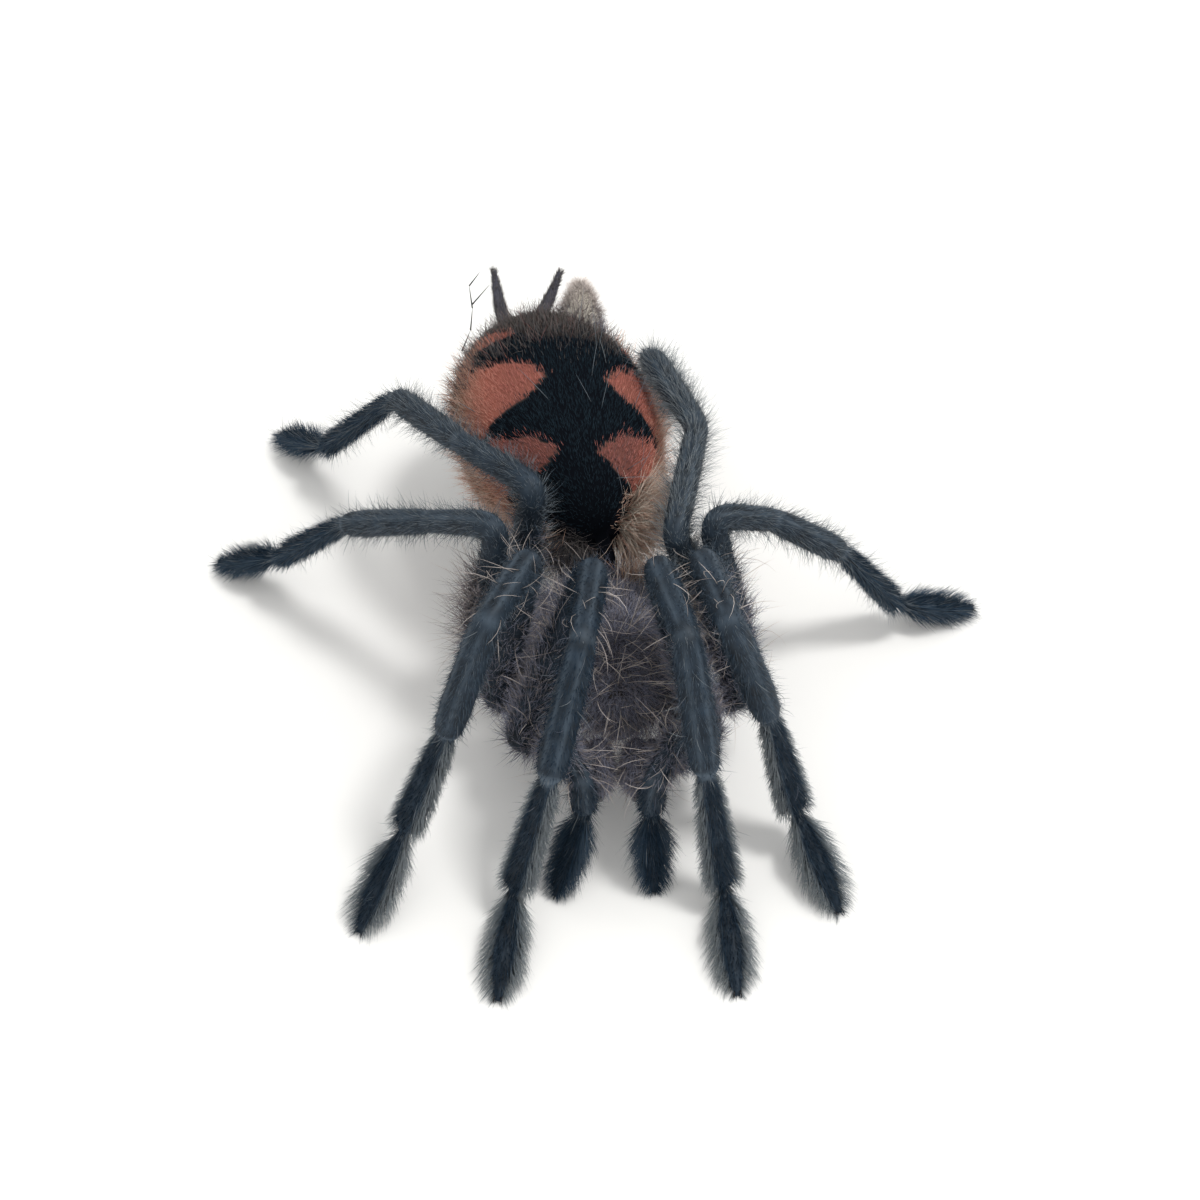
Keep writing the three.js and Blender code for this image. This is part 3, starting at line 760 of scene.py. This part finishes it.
rng = np.random.default_rng(7)
s, turn = on_skin(rng, 31000)
tone = abdomen_tone(s, turn, rng)
fluffy = np.where(tone > 0.24, 1.15, 1.0)
length = fluffy * rng.uniform(0.28, 0.5, len(s))
lean = np.radians(rng.uniform(25, 55, len(s)))
velvet = abdomen_hairs(rng, s, turn, length, lean, rng.uniform(0.016, 0.026, len(s)), tone, bends=1)
grow("abdomen_velvet", [velvet], abdomen_hair)


def fringe(count, s_range, turn_range, length, lean, girth, tone, spread, wild, sides=(-1, 1), droop=0.0,
           bends=2):
    """Longer hair on one part of the abdomen: turn_range is from the top down, sides 1 left and -1 right."""
    s, turn = on_skin(rng, count, s_range, turn_range)
    turn = turn * rng.choice(sides, len(s))
    length, lean = rng.uniform(*length, len(s)), np.radians(rng.uniform(*lean, len(s)))
    girth, tone = rng.uniform(*girth, len(s)), np.clip(rng.normal(tone, spread, len(s)), 0.04, 0.97)
    return abdomen_hairs(rng, s, turn, length, lean, girth, tone, droop, bends, wild)


flanks = fringe(2700, (-0.95, 0.9), (1.1, 2.2), (0.9, 1.8), (30, 70), DOWN, 0.80, 0.05, 0.25, droop=0.1)
rear = fringe(2500, (0.28, 0.99), (0, 3.1), (0.8, 1.5), (40, 85), DOWN, 0.35, 0.05, 0.3)
cheek = fringe(2300, (-0.99, -0.83), (0.9, 2.6), (1.4, 3.2), (50, 90), FINE, 0.87, 0.06, 0.35, [1])
front = fringe(800, (-0.95, -0.62), (1.3, 2.4), (0.8, 1.6), (35, 80), FINE, 0.84, 0.06, 0.3)
neck = fringe(1200, (-0.99, -0.86), (1.4, 3.1), (1.2, 2.6), (60, 90), FINE, 0.30, 0.04, 0.5, [-1])
grow("abdomen_fringe", [flanks, rear, cheek, front, neck], abdomen_hair)
setae = fringe(40, (-0.9, 0.6), (0, 1.1), (1.4, 3.2), (10, 50), (0.018, 0.026), MIST - 0.03, 0.03, 0.6,
               bends=4)
FIBRE = np.array([[-8.4, 19.2, 9.1], [-9.0, 19.8, 9.2], [-8.5, 20.9, 9.8], [-8.4, 22.1, 10.4],
                  [-8.6, 23.3, 11.0], [-8.0, 24.0, 11.4]])
FORK = np.array([[-8.4, 22.3, 10.5], [-7.4, 23.0, 11.4]])
start = np.concatenate([FIBRE[:-1], FORK[:1]])
reach = np.concatenate([np.diff(FIBRE, axis=0), np.diff(FORK, axis=0)])
strays = spikes(start, unit(reach), unit(reach), 1.1 * np.linalg.norm(reach, axis=1),
                np.full(len(start), 0.05), np.full(len(start), BLACK), 4)
grow("abdomen_setae", [setae, strays], limb_hair)
print("triangles on the abdomen", HAIRS_GROWN["abdomen_velvet"], HAIRS_GROWN["abdomen_fringe"])

# %% [markdown]
# The carapace is a low oval dome, narrower in front, with a small mound for the eyes and a pit in the
# middle from which shallow furrows run out between the legs. It is a grid of rings over the oval: height
# follows a square root of what is left of the radius, and the mound and furrows are added on top.

# %% Carapace and sternum
CARAPACE = {"width": 8.1, "length": 10.8, "rim": 5.7, "rise": 2.3}
COAT_DEPTH = 0.22  # how far the shell lies under the furry outline


def on_carapace(share, turn):
    """Point at a share of the radius and a turn round it; its height follows sqrt(1 - share*share)."""
    spread = share * (1 - COAT_DEPTH / 4.5)
    x = spread * 0.5 * CARAPACE["width"] * np.cos(turn) * (1 + 0.11 * np.sin(turn))
    y = spread * 0.5 * CARAPACE["length"] * np.sin(turn)
    rise = 0.25 + (CARAPACE["rise"] - 0.25) * np.sqrt(np.maximum(1 - share**2, 0)) - COAT_DEPTH
    rise = rise + 0.5 * np.exp(-(x**2 + (y + 3.7) ** 2) / 0.7)
    furrow = 0.09 * np.exp(-(((share - 0.45) / 0.22) ** 2)) * (0.5 + 0.5 * np.cos(8 * turn))
    pit = 0.3 * np.exp(-(x**2 / 0.3 + (y - 0.9) ** 2 / 0.12))
    return np.stack([x, y, CARAPACE["rim"] + np.maximum(rise - furrow - pit, 0.02)], -1)


shares = np.sin(np.linspace(np.pi / 2, 0.04, 26))
turns = np.arange(72) / 72 * 2 * np.pi
dome = on_carapace(*np.meshgrid(shares, turns, indexing="ij"))
under = dome[:1].copy()
under[..., :2] *= 0.97
under[..., 2] = CARAPACE["rim"] + 0.01
STERNUM = [[0.72, 3.25], [0.93, 3.5], [0.98, 4.2], [0.93, 4.9], [0.8, 5.15]]  # size and height of each ring
turns = np.arange(40) / 40 * 2 * np.pi
plate = np.array([[[2.1 * f * np.cos(t), 3.9 * f * np.sin(t) - 0.3, z] for t in turns] for f, z in STERNUM])
for name, rings in (("carapace", np.concatenate([under, dome])), ("sternum", plate)):
    points, faces, corners = closed_rings(rings)
    marks = {"pale": np.zeros(len(points))}
    make_piece(f"{name}_shell", points, faces, body_shell, corners, marks, (name,))

# %% [markdown]
# Chelicerae, fangs, spinnerets and the fuzzy tuft beside them are short bodies along a bent line. The
# tuft is partly pale hair and partly a painted shadow: the cream shade on the floor behind the abdomen.
# One profile function makes all of them: the half sizes are read from a few stations with a smooth curve
# between, so a fang can end in a point.

# %% Chelicerae, fangs and spinnerets


def tapered(stations, rings, sides, shrink=0.0):
    """Rings and ways of a tube through stations [x, y, z, half width, half height], eased between them."""
    stations = np.array(stations, float)
    knots = np.arange(len(stations))
    t = np.linspace(0, len(stations) - 1, rings)
    fine = np.linspace(0, len(stations) - 1, 8 * rings)
    kernel = np.hanning(9) / np.hanning(9).sum()
    padded = lambda column: np.pad(np.interp(fine, knots, column), 4, "reflect", reflect_type="odd")
    eased = [np.convolve(padded(column), kernel, "valid") for column in stations.T]
    path = np.stack([np.interp(t, fine, column) for column in eased], -1)
    way = unit(np.gradient(path[:, :3], axis=0))
    side = unit(np.stack([-way[:, 1], way[:, 0], 0 * way[:, 0]], -1))
    up = np.cross(way, side)
    turn = (np.arange(sides) + 0.5) / sides * 2 * np.pi
    w, h = np.maximum(path[:, 3:] - shrink, 0.02).T
    return (path[:, None, :3] + w[:, None, None] * np.cos(turn)[:, None] * side[:, None]
            + h[:, None, None] * np.sin(turn)[:, None] * up[:, None]), way


fang_gloss, _, _, shader = new_finish("fang gloss", 0.18)
shader["Base Color"].default_value = paint(22, 14, 13)

small = {}
for side_name, m in (("left", 1), ("right", -1)):
    jaw = [[1.0 * m, -5.9, 5.2, 0.6, 0.9], [1.0 * m, -6.2, 5.3, 0.82, 1.4], [1.0 * m, -6.8, 5.1, 0.84, 1.6],
           [0.97 * m, -7.2, 4.7, 0.74, 1.45], [0.93 * m, -7.55, 4.3, 0.45, 0.95]]
    small[f"chelicera_{side_name}"] = tapered(jaw, 24, 24, 0.14)
    fang = [[0.95 * m, -7.1, 3.9, 0.3, 0.3], [0.95 * m, -7.15, 2.95, 0.27, 0.27],
            [0.95 * m, -6.95, 2.3, 0.22, 0.22], [0.95 * m, -6.4, 1.8, 0.14, 0.14],
            [0.95 * m, -5.7, 1.6, 0.05, 0.05]]
    small[f"fang_{side_name}"] = tapered(fang, 30, 14)
# the tuft: partly pale hair, partly a painted shadow on the floor behind the abdomen
small["tuft"] = tapered([[-2.1, 19.3, 11.0, 1.6, 0.8], [-2.1, 20.4, 11.5, 1.45, 0.95],
                         [-2.1, 21.6, 11.9, 1.05, 0.8], [-2.1, 22.4, 12.1, 0.45, 0.35]], 24, 24, 0.35)
small["spinneret_left"] = tapered(
    [[-4.9, 21.2, 9.0, 0.44, 0.42], [-4.4, 22.5, 9.4, 0.42, 0.4], [-3.9, 23.5, 9.8, 0.38, 0.36],
     [-3.3, 24.8, 10.6, 0.2, 0.2]], 30, 14, 0.06)
small["spinneret_right"] = tapered(
    [[-6.3, 21.2, 9.0, 0.44, 0.42], [-6.65, 22.3, 9.35, 0.42, 0.4], [-6.9, 23.2, 9.8, 0.38, 0.36],
     [-7.2, 24.8, 10.7, 0.2, 0.2]], 30, 14, 0.06)
KINDS = {"chelicera": (body_shell, "shell"), "fang": (fang_gloss, "fang"),
         "spinneret": (body_shell, "spinneret"), "tuft": (abdomen_skin, "abdomen")}
for name, (rings, _) in small.items():
    points, faces, corners = closed_rings(rings)
    finish, slot = KINDS[name.split("_")[0]]
    marks = {"tone": np.full(len(points), PALE), "pale": np.zeros(len(points))}
    stands_for = (name,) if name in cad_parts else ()
    make_piece(f"{name}_form", points, faces, finish, corners, marks, stands_for)

# %% [markdown]
# Eight eyes sit close together on the mound: two large ones look forward from its middle, and six smaller
# ones stand at its corners. Each is a glossy bead sunk in the shell by half. Every foot ends in two small
# hooked claws, and every palp in one.

# %% Eyes and claws
EYES = [[0.17, -3.92, 0.15], [0.42, -4.05, 0.13], [0.45, -3.62, 0.12], [0.24, -3.52, 0.09]]
beads, faces, corners, shift = [], [[], [], []], [[], [], []], 0
latitude = np.linspace(0.15, np.pi - 0.15, 9)[:, None]
longitude = (np.arange(16) / 16 * 2 * np.pi)[None]
ball = np.stack([np.sin(latitude) * np.cos(longitude), np.sin(latitude) * np.sin(longitude),
                 -np.cos(latitude) + 0 * longitude], -1)
for x, y, size in EYES:
    for m in (1, -1):
        ahead, aside = y / (0.5 * CARAPACE["length"]), m * x / (0.5 * CARAPACE["width"])
        seat = on_carapace(np.array(np.hypot(ahead, aside)), np.array(np.arctan2(ahead, aside)))
        points, tables, maps = closed_rings(seat + size * ball)
        beads.append(points)
        for kept, table in zip(faces, tables):
            kept.append(table + shift)
        for kept, places in zip(corners, maps):
            kept.append(places.reshape(-1, *places.shape[-2:]))
        shift += len(points)
make_piece("eyes", np.concatenate(beads), [np.concatenate(f) for f in faces], fang_gloss,
           [np.concatenate(c) for c in corners])

claws = []
for name, line in lines.items():
    tip, way, across = line["point"][-1], unit(line["way"][-1]), line["across"][-1]
    sides = np.array([0.0]) if name.startswith("palp") else np.array([-1.0, 1.0])
    root = tip - 0.25 * way + 0.14 * sides[:, None] * across
    root[:, 2] = np.maximum(root[:, 2], 0.22)
    start = unit(way + 0.25 * sides[:, None] * across + [0, 0, 0.6])
    length, girth, tone = (np.full(len(sides), value) for value in (0.62, 0.075, BLACK))
    claws.append(spikes(root, start, unit(way - [0, 0, 0.9]), length, girth, tone, 6))
grow("claws", claws, fang_gloss)

# %% [markdown]
# The front body wears a thick grey-brown coat with long cream bristles over it that curve every way and
# catch the light. They are thickest round the bases of the legs, and a warm buff bunch stands at the back,
# by the waist. One helper grows hair on any of the small bodies, from the place, the outward way and the
# way that the hair is combed.

# %% The coat of the front body


def combed(rng, root, normal, flow, length, lean, girth, tone, spread, wild, bends=1, bow=1.6):
    """Hairs at lean degrees from the skin, along flow, bent by bow. length, lean and girth are ranges."""
    count = len(root)
    flow = unit(flow - (flow * normal).sum(-1, keepdims=True) * normal)
    loose = rng.normal(0, wild, root.shape)
    lean = np.radians(rng.uniform(*lean, count))[:, None]
    start = unit(np.sin(lean) * normal + np.cos(lean) * flow + loose)
    end = unit(start + 0.4 * flow + bow * loose)
    return spikes(root - SUNK * normal, start, end, rng.uniform(*length, count), rng.uniform(*girth, count),
                  np.clip(tone + np.abs(rng.normal(0, spread, count)), 0.02, 0.98), bends)


def carapace_places(rng, count, inner=0.0, turns=(0, 2 * np.pi)):
    """Random places on the carapace beyond a share of its radius, the outward way and the way to the rim."""
    share, turn = np.sqrt(rng.uniform(inner**2, 1, count)), rng.uniform(*turns, count)
    root, nudge = on_carapace(share, turn), 0.05
    normal = unit(np.cross(on_carapace(share, turn + nudge) - on_carapace(share, turn - nudge),
                           on_carapace(np.maximum(share - nudge, 0.001), turn) - root))
    normal *= np.sign(normal[:, 2:])
    return root, normal, np.stack([np.cos(turn), np.sin(turn) - 0.3, 0 * turn - 0.2], -1)


rng = np.random.default_rng(21)
short = combed(rng, *carapace_places(rng, 9000), (0.35, 0.7), (20, 60), COARSE, UMBER, 0.03, 0.2)
curly = combed(rng, *carapace_places(rng, 2600), (0.6, 1.2), (25, 75), FINE, UMBER, 0.07, 0.35, 2)
skirt = combed(rng, *carapace_places(rng, 2200, 0.93), (1.1, 2.4), (0, 70), COARSE, UMBER, 0.08, 0.35, 2)
behind = carapace_places(rng, 1500, 0.9, (1.5, 2.7))
nape = combed(rng, *behind, (1.4, 3.2), (0, 65), COARSE, 0.54, 0.08, 0.35, 2)
setae = combed(rng, *carapace_places(rng, 280), (1.5, 3.2), (30, 85), STIFF, BUFF, 0.07, 0.4, 5, 4.8)
grow("carapace_coat", [short, curly, skirt, nape, setae], limb_hair)
behind = carapace_places(rng, 1500, 0.9, (0.55, 1.5))
warm = combed(rng, *behind, (1.2, 2.8), (10, 75), COARSE, 0.78, 0.07, 0.4, 2)
grow("nape_coat", [warm], abdomen_hair)


def places_on(rng, name, count):
    """Random places on a small body, with the outward way and the way along it."""
    rings, way = small[name]
    r, k = rng.integers(0, rings.shape[0], count), rng.integers(0, rings.shape[1], count)
    return rings[r, k] + rng.normal(0, 0.03, (count, 3)), unit(rings[r, k] - rings[r].mean(1)), way[r]


def jaw_places(count):
    """Random places on the chelicera called name, with the hair's way bent down."""
    root, normal, way = places_on(rng, name, count)
    return root, normal, way - [0, 0, 0.5]


for side_name in ("left", "right"):
    name = f"chelicera_{side_name}"
    short = combed(rng, *jaw_places(3200), (0.3, 0.7), (20, 60), FINE, UMBER, 0.04, 0.2)
    curly = combed(rng, *jaw_places(800), (0.6, 1.2), (25, 75), FINE, UMBER, 0.08, 0.35, 2)
    setae = combed(rng, *jaw_places(45), (1.2, 2.6), (40, 80), STIFF, BUFF, 0.07, 0.3, 5, 4.0)
    grow(f"{name}_coat", [short, curly, setae], limb_hair)
    name = f"spinneret_{side_name}"
    short = combed(rng, *places_on(rng, name, 1500), (0.22, 0.4), (15, 45), DOWN, ASH + 0.01, 0.03, 0.12)
    grow(f"{name}_coat", [short], abdomen_hair)
# the tuft's hair runs from darker by the abdomen to pale further back: partly hair colour, partly painted
# shadow
root, normal, way = places_on(rng, "tuft", 3000)
pale = np.clip(0.62 + 0.13 * (root[:, 1] - 19.6) + rng.normal(0, 0.04, 3000), 0.60, 0.92)
fuzz = combed(rng, root, normal, way, (0.4, 0.9), (40, 90), (0.010, 0.018), pale, 0.02, 0.45, 2)
grow("tuft_fuzz_and_floor_shadow", [fuzz], limb_hair)
print("triangles of hair in all", sum(HAIRS_GROWN.values()))
